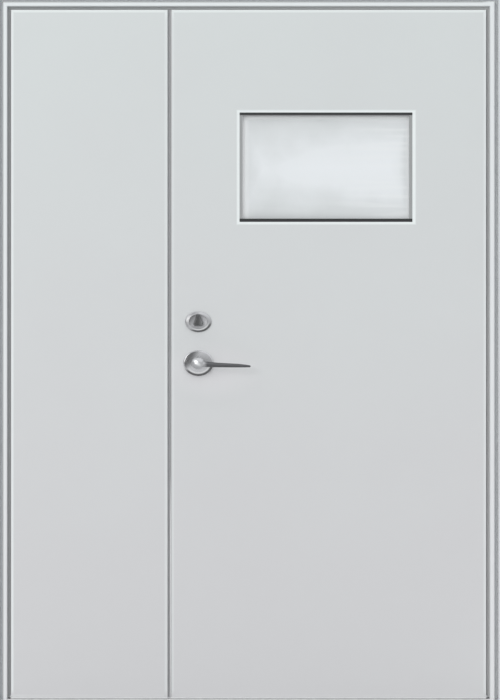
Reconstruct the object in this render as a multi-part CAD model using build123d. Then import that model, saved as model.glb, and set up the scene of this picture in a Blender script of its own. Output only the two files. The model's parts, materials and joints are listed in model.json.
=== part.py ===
from build123d import *
import os

# Unequal pair of flush steel doors in a folded steel frame, in millimetres. The origin is the middle of
# the threshold's underside, +Z is up, -Y is the room side, and both leaves swing away towards +Y.

os.makedirs("parts", exist_ok=True)

# Leaves
SMALL_LEAF_WIDTH = 471.0
MAIN_LEAF_WIDTH = 946.0
LEAF_HEIGHT = 2063.0
EDGE_GAP = 10.0  # beside and above each leaf, and between the two
PAN_SHEET = 1.2
PAN_BEND = 2.0
LIP_THICKNESS = 4.0  # the back pan's hemmed edge
LIP_LAP = 8.0  # over the back of the frame
LIP_CLEARANCE = 5.0
RIM_WIDTH = 9.0  # of the back pan behind the front pan's edge

# Frame and threshold
FRAME_DEPTH = 45.0
FRAME_SHEET = 1.6
FRAME_BEND = 2.0
FLANGE_WIDTH = 6.0
GROOVE_WIDTH = 10.0
GROOVE_DEPTH = 18.0
FRAME_LIP_WIDTH = 15.0
WALL_RETURN = 12.0
FIXING_RADIUS = 5.5
FIXING_COUNT = 4  # in each jamb, evenly spaced
FIXING_INSET_BOTTOM = 300.0
FIXING_INSET_TOP = 312.0
THRESHOLD_THICKNESS = 3.0
THRESHOLD_GAP = 5.0
THRESHOLD_BEVEL = 1.5
SEAL_SEAT = 8.0
SEAL_REACH = 4.0
SEAL_THICKNESS = 4.0
SEAL_ROUND = 1.2
GAP_SEAL_SETBACK = 12.0  # from the room face
GAP_SEAL_THICKNESS = 4.0
GAP_SEAL_ROUND = 1.5
SOFT_CLEARANCE = 2.0  # between a soft strip in a gap and the leaf beside it
BRUSH_THICKNESS = 6.0
BRUSH_SETBACK = 9.0  # from the room face
BOTTOM_SEAL_SETBACK = 1.5  # from the room face
BOTTOM_SEAL_DEPTH = 8.0
BOTTOM_SEAL_DROP = 3.5

# Window
WINDOW_WIDTH = 518.0
WINDOW_HEIGHT = 326.5
WINDOW_DROP = 309.5  # from the leaf's top edge
WINDOW_OFFSET = -8.0  # from the middle of the wide leaf
STRIP_WIDTH = 9.0
STRIP_PROUD = 1.0
STRIP_ROUND = 0.8
NICHE_DEPTH = 12.0
PANE_THICKNESS = 6.0

# Lock
BACKSET = 82.0
LEVER_HEIGHT = 1011.0
LOCK_CENTRES = 124.0  # from the lever up to the deadlock
LOCK_SETBACK = 27.0  # middle of the edge plates, from the room face
EDGE_PLATE_WIDTH = 22.0
EDGE_PLATE_END = 58.0  # beyond the lever and the deadlock
EDGE_PLATE_THICKNESS = 3.0
EDGE_PLATE_PLAY = 0.2
LATCH_SIZE = (12.0, 18.0)
DEADBOLT_SIZE = (12.0, 28.0)
BOLT_LENGTH = 26.0
BOLT_PLAY = 0.3
STRIKE_MARGIN = 2.5
FLUSH_BOLT_LENGTH = 150.0
FLUSH_BOLT_INSET = 220.0  # middle of each flush bolt, from the leaf's end
FLUSH_TOGGLE = (9.0, 46.0)
FLUSH_SLIT = 1.5
FLUSH_CASE = (18.0, 24.0, 110.0)  # width, depth from the leaf's edge, length
FLUSH_ROD_RADIUS = 6.0
FLUSH_ROD_INSET = 14.0  # from the leaf's edge
FLUSH_ROD_PLAY = 0.3
KEEPER_PLAY = 1.0

# Lever set
LEVER_ROSE_WIDTH = 90.0
LEVER_ROSE_HEIGHT = 77.0
LEVER_ROSE_EDGE = 7.5
LEVER_ROSE_ROUND = 4.0
LEVER_ROSE_RISE = 11.0
NECK_RADIUS = 9.0
NECK_PLAY = 0.08
LEVER_STANDOFF = 50.0
BOSS_RADIUS = 19.0
BOSS_DEPTH = 15.0  # from the arm's line to the boss's end
LEVER_STATIONS = (4.0, 45.0, 95.0, 128.0, 154.0)
LEVER_DROP = (1.2, 5.0, 6.8, 8.0, 9.4)
LEVER_TALL = (18.0, 14.8, 12.2, 10.0, 6.2)
LEVER_DEEP = (20.0, 16.0, 13.0, 10.5, 7.0)
LEVER_TIP_ROUND = 3.0
STEM_DEPTH = 20.0  # how far a neck or stem reaches into the leaf
SPINDLE_SIDE = 8.0

# Deadlock
TURN_ROSE_WIDTH = 79.0
TURN_ROSE_HEIGHT = 62.0
TURN_ROSE_EDGE = 2.5
TURN_ROSE_RISE = 9.0
DISH_HEIGHT = 44.0
DISH_DEPTH = 4.0
TURN_TIP_RADIUS = 5.0
TURN_TIP_HEIGHT = 18.5  # of the bell's narrow end above the stem
TURN_FOOT_RADIUS = 6.5
TURN_FOOT_SPREAD = 8.0
TURN_FOOT_DEPTH = 6.0  # of the bell's wide end below the stem
TURN_BLADE = 11.0
TURN_SHRINK = 2.8  # all round, from the blade's foot to its top
TURN_ROUND = 1.5
TURN_LIFT = 1.5  # blade above the rim of the dish
STEM_RADIUS = 6.0
CYLINDER_RADIUS = 14.0
CYLINDER_PROUD = 2.0
CYLINDER_ROUND = 1.0
KEYWAY = (3.0, 13.0, 5.0)

# Hinges
HINGE_INSET_BOTTOM = 222.0  # from the leaf's end
HINGE_INSET_TOP = 221.0
BARREL_RADIUS = 7.5
BARREL_LENGTH = 45.0  # each half
BARREL_PLAY = 0.5
BARREL_LIFT = 1.0  # off the frame's back
BARREL_ROUND = 1.5
PIN_RADIUS = 5.0
PIN_PLAY = 0.06
PIN_LENGTH = 38.0
HINGE_OFFSET = 12.5  # pin axis beyond the lip's edge
FOOT_WIDTH = 14.0
WING_WIDTH = 46.0
WING_THICKNESS = 4.0
WING_ROUND = 4.0

# Derived positions
LIP = EDGE_GAP + LIP_LAP
FACE_WIDTH = FLANGE_WIDTH + GROOVE_WIDTH + FRAME_LIP_WIDTH
OPENING = SMALL_LEAF_WIDTH + MAIN_LEAF_WIDTH + 3 * EDGE_GAP
HALF = OPENING / 2
OUTER = HALF + FACE_WIDTH
Z_LOW = THRESHOLD_THICKNESS + THRESHOLD_GAP
Z_HIGH = Z_LOW + LEAF_HEIGHT
Z_SOFFIT = Z_HIGH + EDGE_GAP
Z_OUTER = Z_SOFFIT + FACE_WIDTH
Y_FRONT = -FRAME_DEPTH / 2
Y_BACK = FRAME_DEPTH / 2
Y_LIP = Y_BACK + LIP_CLEARANCE
Y_REAR = Y_LIP + LIP_THICKNESS
SMALL_X = (-HALF + EDGE_GAP, -HALF + EDGE_GAP + SMALL_LEAF_WIDTH)
MAIN_X = (SMALL_X[1] + EDGE_GAP, HALF - EDGE_GAP)
LOCK_X = MAIN_X[0] + BACKSET
LOCK_Y = Y_FRONT + LOCK_SETBACK
TURN_HEIGHT = LEVER_HEIGHT + LOCK_CENTRES
LOCK_Z = (LEVER_HEIGHT + TURN_HEIGHT) / 2
FLUSH_ROD_X = SMALL_X[1] - FLUSH_ROD_INSET
EDGE_PLATE_LENGTH = LOCK_CENTRES + 2 * EDGE_PLATE_END
SOFT_REACH = EDGE_GAP - SOFT_CLEARANCE
DISH_RIM = TURN_ROSE_EDGE + (TURN_ROSE_RISE - TURN_ROSE_EDGE) * (1 - (DISH_HEIGHT / TURN_ROSE_HEIGHT) ** 2) ** 0.5
LEAF_MIDDLE = Plane((0, (Y_FRONT + Y_REAR) / 2, 0), z_dir=(0, 1, 0))

parts = {}


def block(x0, x1, y0, y1, z0, z1):
    """Box between two corners."""
    return Pos((x0 + x1) / 2, (y0 + y1) / 2, (z0 + z1) / 2) * Box(x1 - x0, y1 - y0, z1 - z0)


def rod(radius, y0, y1, x, z):
    """Round bar along Y."""
    return Pos(x, (y0 + y1) / 2, z) * Rot(90, 0, 0) * Cylinder(radius, y1 - y0)


def ring(x0, x1, y0, y1, z0, z1, width):
    """Rectangular frame of one even width."""
    hole = block(x0 + width, x1 - width, y0 - 1, y1 + 1, z0 + width, z1 - width)
    return block(x0, x1, y0, y1, z0, z1) - hole


# Frame: one folded section, cut to mitres at the two top corners
groove_end = FLANGE_WIDTH + GROOVE_WIDTH
section_line = FilletPolyline(
    (0, Y_FRONT + WALL_RETURN),
    (0, Y_FRONT),
    (FLANGE_WIDTH, Y_FRONT),
    (FLANGE_WIDTH, Y_FRONT + GROOVE_DEPTH),
    (groove_end, Y_FRONT + GROOVE_DEPTH),
    (groove_end, Y_FRONT),
    (FACE_WIDTH, Y_FRONT),
    (FACE_WIDTH, Y_BACK),
    (0, Y_BACK),
    (0, Y_BACK - WALL_RETURN),
    radius=FRAME_BEND,
)
sheets = [offset(section_line, FRAME_SHEET, side=side, kind=Kind.ARC) for side in (Side.LEFT, Side.RIGHT)]
inner_sheet = min(sheets, key=lambda sheet: sheet.bounding_box().size.X)  # the line is the sheet's outer face
section = make_face(inner_sheet.edges())
left_mitre = Plane((-OUTER, 0, Z_OUTER), z_dir=(1, 0, 1))
right_mitre = Plane((OUTER, 0, Z_OUTER), z_dir=(-1, 0, 1))

jamb = Pos(-OUTER, 0, 0) * extrude(section, Z_OUTER, dir=(0, 0, 1))
jamb = split(jamb, bisect_by=left_mitre, keep=Keep.BOTTOM)
fixing_pitch = (Z_OUTER - FIXING_INSET_TOP - FIXING_INSET_BOTTOM) / (FIXING_COUNT - 1)
for number in range(FIXING_COUNT):
    height = FIXING_INSET_BOTTOM + number * fixing_pitch
    drill = Pos(-HALF, 0, height) * Rot(0, 90, 0) * Cylinder(FIXING_RADIUS, 4 * FRAME_SHEET)
    jamb -= drill
head = Pos(-OUTER, 0, Z_OUTER) * Rot(0, 90, 0) * extrude(section, 2 * OUTER, dir=(0, 0, 1))
head = split(head, bisect_by=left_mitre, keep=Keep.TOP)
head = split(head, bisect_by=right_mitre, keep=Keep.TOP)
keeper = Cylinder(FLUSH_ROD_RADIUS + KEEPER_PLAY, 4 * FRAME_SHEET)
head -= Pos(FLUSH_ROD_X, LOCK_Y, Z_SOFFIT) * keeper
parts["left_jamb"] = jamb
parts["right_jamb"] = mirror(jamb, Plane.YZ)
parts["head"] = head

threshold = block(-HALF, HALF, Y_FRONT, Y_BACK, 0, THRESHOLD_THICKNESS)
long_edges = threshold.faces().sort_by(Axis.Z)[-1].edges().filter_by(Axis.X)
threshold = chamfer(long_edges, THRESHOLD_BEVEL)
parts["threshold"] = threshold - Pos(FLUSH_ROD_X, LOCK_Y, 0) * keeper

# Rubber seal on the back of the frame, under the leaves' lip
seal_top = Y_BACK + SEAL_THICKNESS
side_seal = block(-HALF - SEAL_SEAT, -HALF + SEAL_REACH, Y_BACK, seal_top, Z_LOW, Z_SOFFIT - SEAL_REACH)
side_seal = fillet(side_seal.faces().sort_by(Axis.Y)[-1].edges().filter_by(Axis.Z), SEAL_ROUND)
head_seal = block(
    -HALF - SEAL_SEAT, HALF + SEAL_SEAT, Y_BACK, seal_top, Z_SOFFIT - SEAL_REACH, Z_SOFFIT + SEAL_SEAT
)
head_seal = fillet(head_seal.faces().sort_by(Axis.Y)[-1].edges().filter_by(Axis.X), SEAL_ROUND)
parts["left_seal"] = side_seal
parts["right_seal"] = mirror(side_seal, Plane.YZ)
parts["head_seal"] = head_seal

# Grey strips a little way down in the gap, which is why the gap shows grey and not black
strip_y = (Y_FRONT + GAP_SEAL_SETBACK, Y_FRONT + GAP_SEAL_SETBACK + GAP_SEAL_THICKNESS)
side_strip = block(-HALF, -HALF + SOFT_REACH, *strip_y, Z_LOW, Z_SOFFIT - SOFT_REACH)
side_strip = fillet(side_strip.faces().sort_by(Axis.X)[-1].edges().filter_by(Axis.Z), GAP_SEAL_ROUND)
head_strip = block(-HALF, HALF, *strip_y, Z_SOFFIT - SOFT_REACH, Z_SOFFIT)
head_strip = fillet(head_strip.faces().sort_by(Axis.Z)[0].edges().filter_by(Axis.X), GAP_SEAL_ROUND)
parts["left_gap_seal"] = side_strip
parts["right_gap_seal"] = mirror(side_strip, Plane.YZ)
parts["head_gap_seal"] = head_strip


# Leaves: a deep front pan closed by a back pan whose hemmed edge laps the frame
def front_pan(x):
    """Sheet tray, open at the back, with its folds rounded."""
    tray = block(x[0], x[1], Y_FRONT, Y_LIP, Z_LOW, Z_HIGH)
    tray = fillet(tray.faces().sort_by(Axis.Y)[0].edges(), PAN_BEND)
    inner_x = (x[0] + PAN_SHEET, x[1] - PAN_SHEET)
    return tray - block(*inner_x, Y_FRONT + PAN_SHEET, Y_LIP + 1, Z_LOW + PAN_SHEET, Z_HIGH - PAN_SHEET)


def back_pan(x, left_lip, right_lip):
    """Flat pan, one sheet thick inside its hemmed rim."""
    plate = block(x[0] - left_lip, x[1] + right_lip, Y_LIP, Y_REAR, Z_LOW, Z_HIGH + LIP)
    plate = fillet(plate.faces().sort_by(Axis.Y)[-1].edges(), PAN_BEND)
    inner_x = (x[0] + RIM_WIDTH, x[1] - RIM_WIDTH)
    return plate - block(*inner_x, Y_LIP - 1, Y_REAR - PAN_SHEET, Z_LOW + RIM_WIDTH, Z_HIGH - RIM_WIDTH)


def edge_plate(x0, x1, middle_z, width, length):
    """Plate let into a leaf's edge."""
    return block(x0, x1, LOCK_Y - width / 2, LOCK_Y + width / 2, middle_z - length / 2, middle_z + length / 2)


def edge_cut(x, middle_z, length):
    """Cut-out in a leaf's edge for such a plate."""
    width = EDGE_PLATE_WIDTH + 2 * EDGE_PLATE_PLAY
    return edge_plate(x - 2 * PAN_SHEET, x + 2 * PAN_SHEET, middle_z, width, length + 2 * EDGE_PLATE_PLAY)


flush_bolt_places = {
    "lower": (Z_LOW + FLUSH_BOLT_INSET, Z_LOW),
    "upper": (Z_HIGH - FLUSH_BOLT_INSET, Z_HIGH),
}
small_front = front_pan(SMALL_X) - edge_cut(SMALL_X[1], LOCK_Z, EDGE_PLATE_LENGTH)
for name, (height, end) in flush_bolt_places.items():
    small_front -= edge_cut(SMALL_X[1], height, FLUSH_BOLT_LENGTH)
    plate_x = (SMALL_X[1] - EDGE_PLATE_THICKNESS, SMALL_X[1])
    plate = edge_plate(*plate_x, height, EDGE_PLATE_WIDTH, FLUSH_BOLT_LENGTH)
    wide, tall = FLUSH_TOGGLE
    slot = edge_plate(plate_x[0] - 1, plate_x[1] + 1, height, wide + 2 * FLUSH_SLIT, tall + 2 * FLUSH_SLIT)
    toggle = edge_plate(plate_x[0] - 2, plate_x[1] + 2, height - FLUSH_SLIT, wide, tall + 2 * FLUSH_SLIT)
    plate -= slot - toggle
    case_wide, case_deep, case_long = FLUSH_CASE
    case = edge_plate(SMALL_X[1] - case_deep, plate_x[0], height, case_wide, case_long)
    bolt_rod = Pos(FLUSH_ROD_X, LOCK_Y, (height + end) / 2) * Cylinder(FLUSH_ROD_RADIUS, abs(end - height))
    small_front -= Pos(FLUSH_ROD_X, LOCK_Y, end) * Cylinder(FLUSH_ROD_RADIUS + FLUSH_ROD_PLAY, 4 * PAN_SHEET)
    parts[f"{name}_flush_bolt"] = plate + case + bolt_rod
parts["small_front_pan"] = small_front
parts["small_back_pan"] = back_pan(SMALL_X, LIP, 0)

strike = edge_plate(
    SMALL_X[1] - EDGE_PLATE_THICKNESS, SMALL_X[1], LOCK_Z, EDGE_PLATE_WIDTH, EDGE_PLATE_LENGTH
)
for height, (wide, tall) in ((LEVER_HEIGHT, LATCH_SIZE), (TURN_HEIGHT, DEADBOLT_SIZE)):
    keep = (wide + STRIKE_MARGIN, tall + 2 * STRIKE_MARGIN)
    strike -= edge_plate(SMALL_X[1] - 2 * EDGE_PLATE_THICKNESS, SMALL_X[1] + 1, height, *keep)
parts["strike_plate"] = strike

brush_y = Y_FRONT + BRUSH_SETBACK
parts["meeting_brush"] = block(
    SMALL_X[1], SMALL_X[1] + SOFT_REACH, brush_y, brush_y + BRUSH_THICKNESS, Z_LOW, Z_HIGH
)

# Grey strip under each leaf, just clear of the threshold
sweep_y = (Y_FRONT + BOTTOM_SEAL_SETBACK, Y_FRONT + BOTTOM_SEAL_SETBACK + BOTTOM_SEAL_DEPTH)
parts["small_bottom_seal"] = block(*SMALL_X, *sweep_y, Z_LOW - BOTTOM_SEAL_DROP, Z_LOW)
parts["main_bottom_seal"] = block(*MAIN_X, *sweep_y, Z_LOW - BOTTOM_SEAL_DROP, Z_LOW)

# Window: pane, spacer, pane, held by strips from both sides
window_x = sum(MAIN_X) / 2 + WINDOW_OFFSET
wx = (window_x - WINDOW_WIDTH / 2, window_x + WINDOW_WIDTH / 2)
wz = (Z_HIGH - WINDOW_DROP - WINDOW_HEIGHT, Z_HIGH - WINDOW_DROP)
window_cut = block(*wx, Y_FRONT - 5, Y_REAR + 5, *wz)


def window_strips(y0, y1, outer):
    """Top and bottom rails over the full width, and the two stiles between them; outer is 0 or -1 by Y."""

    def strip(x0, x1, z0, z1, along):
        bar = block(x0, x1, y0, y1, z0, z1)
        return fillet(bar.faces().sort_by(Axis.Y)[outer].edges().filter_by(along), STRIP_ROUND)

    inner_z = (wz[0] + STRIP_WIDTH, wz[1] - STRIP_WIDTH)
    rails = strip(*wx, wz[0], inner_z[0], Axis.X) + strip(*wx, inner_z[1], wz[1], Axis.X)
    stiles = strip(wx[0], wx[0] + STRIP_WIDTH, *inner_z, Axis.Z)
    stiles += strip(wx[1] - STRIP_WIDTH, wx[1], *inner_z, Axis.Z)
    return rails, stiles


front_pane_y = (Y_FRONT + NICHE_DEPTH, Y_FRONT + NICHE_DEPTH + PANE_THICKNESS)
back_pane_y = (Y_REAR - NICHE_DEPTH - PANE_THICKNESS, Y_REAR - NICHE_DEPTH)
front_strips = window_strips(Y_FRONT - STRIP_PROUD, front_pane_y[0], 0)
back_strips = window_strips(back_pane_y[1], Y_REAR + STRIP_PROUD, -1)
parts["front_window_rails"], parts["front_window_stiles"] = front_strips
parts["back_window_rails"], parts["back_window_stiles"] = back_strips
parts["front_pane"] = block(*wx, *front_pane_y, *wz)
parts["back_pane"] = block(*wx, *back_pane_y, *wz)
parts["pane_spacer"] = ring(*wx, front_pane_y[1], back_pane_y[0], *wz, STRIP_WIDTH)

# Wide leaf's pans, forend and bolts
lever_hole = rod(NECK_RADIUS + 2, Y_FRONT - 5, Y_REAR + 5, LOCK_X, LEVER_HEIGHT)
turn_hole = rod(CYLINDER_RADIUS + 2, Y_FRONT - 5, Y_REAR + 5, LOCK_X, TURN_HEIGHT)
main_cuts = window_cut + lever_hole + turn_hole
parts["main_front_pan"] = front_pan(MAIN_X) - main_cuts - edge_cut(MAIN_X[0], LOCK_Z, EDGE_PLATE_LENGTH)
parts["main_back_pan"] = back_pan(MAIN_X, 0, LIP) - main_cuts

forend = edge_plate(
    MAIN_X[0], MAIN_X[0] + EDGE_PLATE_THICKNESS, LOCK_Z, EDGE_PLATE_WIDTH, EDGE_PLATE_LENGTH
)
bolts = []
for height, (wide, tall) in ((LEVER_HEIGHT, LATCH_SIZE), (TURN_HEIGHT, DEADBOLT_SIZE)):
    through = (MAIN_X[0] - 1, MAIN_X[0] + 2 * EDGE_PLATE_THICKNESS)
    forend -= edge_plate(*through, height, wide + 2 * BOLT_PLAY, tall + 2 * BOLT_PLAY)
    bolts.append(edge_plate(MAIN_X[0], MAIN_X[0] + BOLT_LENGTH, height, wide, tall))
parts["lock_forend"] = forend
parts["lock_bolts"] = bolts[0] + bolts[1]


# Roses, levers and turn: made on the back face, mirrored through the leaf for the room face
def crowned_rose():
    """Oval plate standing along +Y, with a rounded edge and a slightly crowned face."""
    corner = (LEVER_ROSE_HEIGHT / 2, LEVER_ROSE_EDGE)
    outline = Polyline((0, LEVER_ROSE_RISE), (0, 0), (corner[0], 0), corner)
    crown = TangentArc((0, LEVER_ROSE_RISE), corner, tangent=(1, 0))
    half_section = make_face(outline.edges() + [crown])
    half_section = fillet(half_section.vertices().sort_by_distance((*corner, 0))[0], LEVER_ROSE_ROUND)
    return scale(revolve(half_section, Axis.Y), by=(LEVER_ROSE_WIDTH / LEVER_ROSE_HEIGHT, 1, 1))


def dished_rose():
    """Oval dome standing along +Y, with a bowl sunk into it."""
    half = TURN_ROSE_HEIGHT / 2
    crown_height = TURN_ROSE_RISE - TURN_ROSE_EDGE
    outline = Polyline((0, TURN_ROSE_RISE), (0, 0), (half, 0), (half, TURN_ROSE_EDGE))
    crown = EllipticalCenterArc((0, TURN_ROSE_EDGE), half, crown_height, start_angle=0, arc_size=90)
    bowl = Pos(0, DISH_RIM) * Ellipse(DISH_HEIGHT / 2, DISH_DEPTH)
    half_section = make_face(outline.edges() + [crown]) - bowl
    return scale(revolve(half_section, Axis.Y), by=(TURN_ROSE_WIDTH / TURN_ROSE_HEIGHT, 1, 1))


def on_back(shape, height):
    """Place a fitting on the back face, over the lock."""
    return Pos(LOCK_X, Y_REAR, height) * shape


lever_rose = crowned_rose() - rod(NECK_RADIUS + NECK_PLAY, -1, LEVER_ROSE_RISE + 1, 0, 0)
parts["back_lever_rose"] = on_back(lever_rose, LEVER_HEIGHT)
parts["front_lever_rose"] = mirror(parts["back_lever_rose"], LEAF_MIDDLE)

stations = zip(LEVER_STATIONS, LEVER_DROP, LEVER_TALL, LEVER_DEEP)
arm = loft(
    [
        Plane((x, LEVER_STANDOFF, -drop), x_dir=(0, 1, 0), z_dir=(1, 0, 0)) * Ellipse(deep / 2, tall / 2)
        for x, drop, tall, deep in stations
    ]
)
tip_shape = scale(Sphere(1), by=(LEVER_TIP_ROUND, LEVER_DEEP[-1] / 2, LEVER_TALL[-1] / 2))
arm += Pos(LEVER_STATIONS[-1], LEVER_STANDOFF, -LEVER_DROP[-1]) * tip_shape
boss = Pos(0, LEVER_STANDOFF, 0) * scale(Sphere(1), by=(BOSS_RADIUS, BOSS_DEPTH, BOSS_RADIUS))
lever = rod(NECK_RADIUS, -STEM_DEPTH, LEVER_STANDOFF, 0, 0) + boss + arm
parts["back_lever"] = on_back(lever, LEVER_HEIGHT)
parts["front_lever"] = mirror(parts["back_lever"], LEAF_MIDDLE)
half_side = SPINDLE_SIDE / 2
parts["lever_spindle"] = block(
    LOCK_X - half_side,
    LOCK_X + half_side,
    Y_FRONT + STEM_DEPTH,
    Y_REAR - STEM_DEPTH,
    LEVER_HEIGHT - half_side,
    LEVER_HEIGHT + half_side,
)

turn_rose = dished_rose()
back_rose = turn_rose - rod(CYLINDER_RADIUS + NECK_PLAY, -1, TURN_ROSE_RISE + 1, 0, 0)
front_rose = turn_rose - rod(STEM_RADIUS + NECK_PLAY, -1, TURN_ROSE_RISE + 1, 0, 0)
parts["back_cylinder_rose"] = on_back(back_rose, TURN_HEIGHT)
parts["front_turn_rose"] = mirror(on_back(front_rose, TURN_HEIGHT), LEAF_MIDDLE)

cylinder = rod(CYLINDER_RADIUS, -STEM_DEPTH, TURN_ROSE_RISE + CYLINDER_PROUD, 0, 0)
cylinder = fillet(cylinder.faces().sort_by(Axis.Y)[-1].edges(), CYLINDER_ROUND)
wide, tall, deep = KEYWAY
cylinder -= Pos(0, TURN_ROSE_RISE + CYLINDER_PROUD, 0) * Box(wide, 2 * deep, tall)
parts["key_cylinder"] = on_back(cylinder, TURN_HEIGHT)



def bell(y, shrink):
    """Bell outline facing +Y, narrow end up."""
    tip = Pos(0, TURN_TIP_HEIGHT) * Circle(TURN_TIP_RADIUS - shrink)
    left = Pos(-TURN_FOOT_SPREAD, -TURN_FOOT_DEPTH) * Circle(TURN_FOOT_RADIUS - shrink)
    right = Pos(TURN_FOOT_SPREAD, -TURN_FOOT_DEPTH) * Circle(TURN_FOOT_RADIUS - shrink)
    outline = make_hull(tip.edges() + left.edges() + right.edges())
    return (Plane((0, y, 0), x_dir=(-1, 0, 0), z_dir=(0, 1, 0)) * outline).face()


blade_foot = DISH_RIM + TURN_LIFT
blade = loft([bell(blade_foot, 0), bell(blade_foot + TURN_BLADE, TURN_SHRINK)])
blade = fillet(blade.faces().sort_by(Axis.Y)[-1].edges(), TURN_ROUND)
turn = blade + rod(STEM_RADIUS, -STEM_DEPTH, blade_foot + 1, 0, 0)
parts["thumb_turn"] = mirror(on_back(turn, TURN_HEIGHT), LEAF_MIDDLE)

# Hinges: the frame half carries the pin, the leaf half drops over it
pin_x = SMALL_X[0] - LIP - HINGE_OFFSET
pin_y = Y_BACK + BARREL_LIFT + BARREL_RADIUS
hinge_heights = {"bottom": Z_LOW + HINGE_INSET_BOTTOM, "top": Z_HIGH - HINGE_INSET_TOP}
hinge_heights["middle"] = (hinge_heights["bottom"] + hinge_heights["top"]) / 2
for place, height in hinge_heights.items():
    low, high = height - BARREL_LENGTH, height + BARREL_LENGTH
    barrel = Cylinder(BARREL_RADIUS, BARREL_LENGTH - BARREL_PLAY / 2)
    barrel_end = fillet(barrel.edges().sort_by(Axis.Z)[-1], BARREL_ROUND)
    shift = (BARREL_LENGTH + BARREL_PLAY / 2) / 2

    pin = Pos(pin_x, pin_y, height) * Cylinder(PIN_RADIUS, 2 * PIN_LENGTH)
    foot_x = (pin_x - FOOT_WIDTH / 2, pin_x + FOOT_WIDTH / 2)
    foot = block(*foot_x, Y_BACK, pin_y - PIN_RADIUS, low, height - BARREL_PLAY / 2)
    frame_half = Pos(pin_x, pin_y, height - shift) * Rot(180, 0, 0) * barrel_end + foot + pin

    wing_x = (pin_x, pin_x + WING_WIDTH)
    wing = block(*wing_x, Y_REAR, Y_REAR + WING_THICKNESS, height + BARREL_PLAY / 2, high)
    wing = fillet(wing.faces().sort_by(Axis.X)[-1].edges().filter_by(Axis.Y), WING_ROUND)
    bore = Pos(pin_x, pin_y, height) * Cylinder(PIN_RADIUS + PIN_PLAY, 2 * PIN_LENGTH + 2)
    leaf_half = Pos(pin_x, pin_y, height + shift) * barrel_end + wing - bore

    parts[f"left_{place}_hinge_frame_half"] = frame_half
    parts[f"left_{place}_hinge_leaf_half"] = leaf_half
    parts[f"right_{place}_hinge_frame_half"] = mirror(frame_half, Plane.YZ)
    parts[f"right_{place}_hinge_leaf_half"] = mirror(leaf_half, Plane.YZ)

for name, shape in parts.items():
    export_step(shape, f"parts/{name}.step")
print(len(parts), "nodes")
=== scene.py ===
# %% [markdown]
# # A pair of steel doors, dressed for the camera
# The solids of this doorset come from CAD: two flush leaves of folded sheet, a folded frame, a window,
# a deadlock and a lever set. They arrive as fixed meshes, already in their places and in metres. This
# lesson gives every one of them a finish of its own, adds the small things that CAD leaves out, and
# sets up light and camera.

import json
import math

import bpy
import numpy as np
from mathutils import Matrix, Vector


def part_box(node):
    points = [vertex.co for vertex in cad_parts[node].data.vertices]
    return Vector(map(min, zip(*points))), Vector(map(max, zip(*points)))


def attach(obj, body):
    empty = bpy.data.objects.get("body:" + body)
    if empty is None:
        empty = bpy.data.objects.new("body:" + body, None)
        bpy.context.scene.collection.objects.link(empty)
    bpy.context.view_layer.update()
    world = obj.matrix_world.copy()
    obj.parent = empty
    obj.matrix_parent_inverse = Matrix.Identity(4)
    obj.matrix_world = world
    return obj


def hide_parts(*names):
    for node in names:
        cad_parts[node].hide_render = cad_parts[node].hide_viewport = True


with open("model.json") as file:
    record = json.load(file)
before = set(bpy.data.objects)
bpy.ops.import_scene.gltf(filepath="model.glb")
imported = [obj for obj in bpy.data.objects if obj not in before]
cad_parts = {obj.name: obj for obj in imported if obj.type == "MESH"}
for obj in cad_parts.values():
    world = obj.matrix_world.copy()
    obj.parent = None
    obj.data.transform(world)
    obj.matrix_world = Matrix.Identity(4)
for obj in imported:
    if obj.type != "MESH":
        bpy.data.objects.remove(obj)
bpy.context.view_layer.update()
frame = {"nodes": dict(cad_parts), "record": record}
nodes = frame["nodes"]

# %% [markdown]
# ## Reading a piece's place
# Each node carries its place in its own vertices, so its box says where it is. The leaves, the window
# and the lock are read this way, which keeps every added piece on what carries it.


# %% Boxes as arrays
def box_of(node):
    """Lowest and highest corner of a node as two arrays of three metres."""
    low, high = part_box(node)
    return np.array(low), np.array(high)


small_leaf = box_of("small_front_pan")
main_leaf = box_of("main_front_pan")
pane = box_of("front_pane")
window = box_of("front_window_rails")
rose = box_of("front_lever_rose")
turn_rose = box_of("front_turn_rose")
spindle_x, _, spindle_z = (rose[0] + rose[1]) / 2
front_face = main_leaf[0][1]
back_face = box_of("main_back_pan")[1][1]
print("leaves from y =", round(float(front_face), 4), "to", round(float(back_face), 4))

# %% [markdown]
# ## A small kit for materials
# Every finish here is a Principled shader. What stays the same all over a surface is set on the shader
# itself, and only what varies from place to place comes through nodes.


# %% Start a finish
def new_finish(name, colour, roughness, metallic=0.0):
    """Start a material and return it with its node tree and shader."""
    material = bpy.data.materials.new(name)
    material.use_nodes = True
    tree = material.node_tree
    shader = tree.nodes["Principled BSDF"]
    shader.inputs["Base Color"].default_value = (*colour, 1.0)
    shader.inputs["Roughness"].default_value = roughness
    shader.inputs["Metallic"].default_value = metallic
    return material, tree, shader


print("kit: finishes")

# %% [markdown]
# ## Patterns
# Patterns read Object coordinates, which are plain metres, so a noise with a scale of 300 has grains
# about three millimetres across on every piece. A Map Range node turns a noise or a place into a value
# between two limits. Its four numbers are written here as one span: from, to, the value at from and the
# value at to.


# %% Places and noise
def place_axes(tree):
    """Object coordinates as three separate outputs X, Y and Z."""
    where = tree.nodes.new("ShaderNodeTexCoord")
    split = tree.nodes.new("ShaderNodeSeparateXYZ")
    tree.links.new(where.outputs["Object"], split.inputs["Vector"])
    return split.outputs


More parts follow.
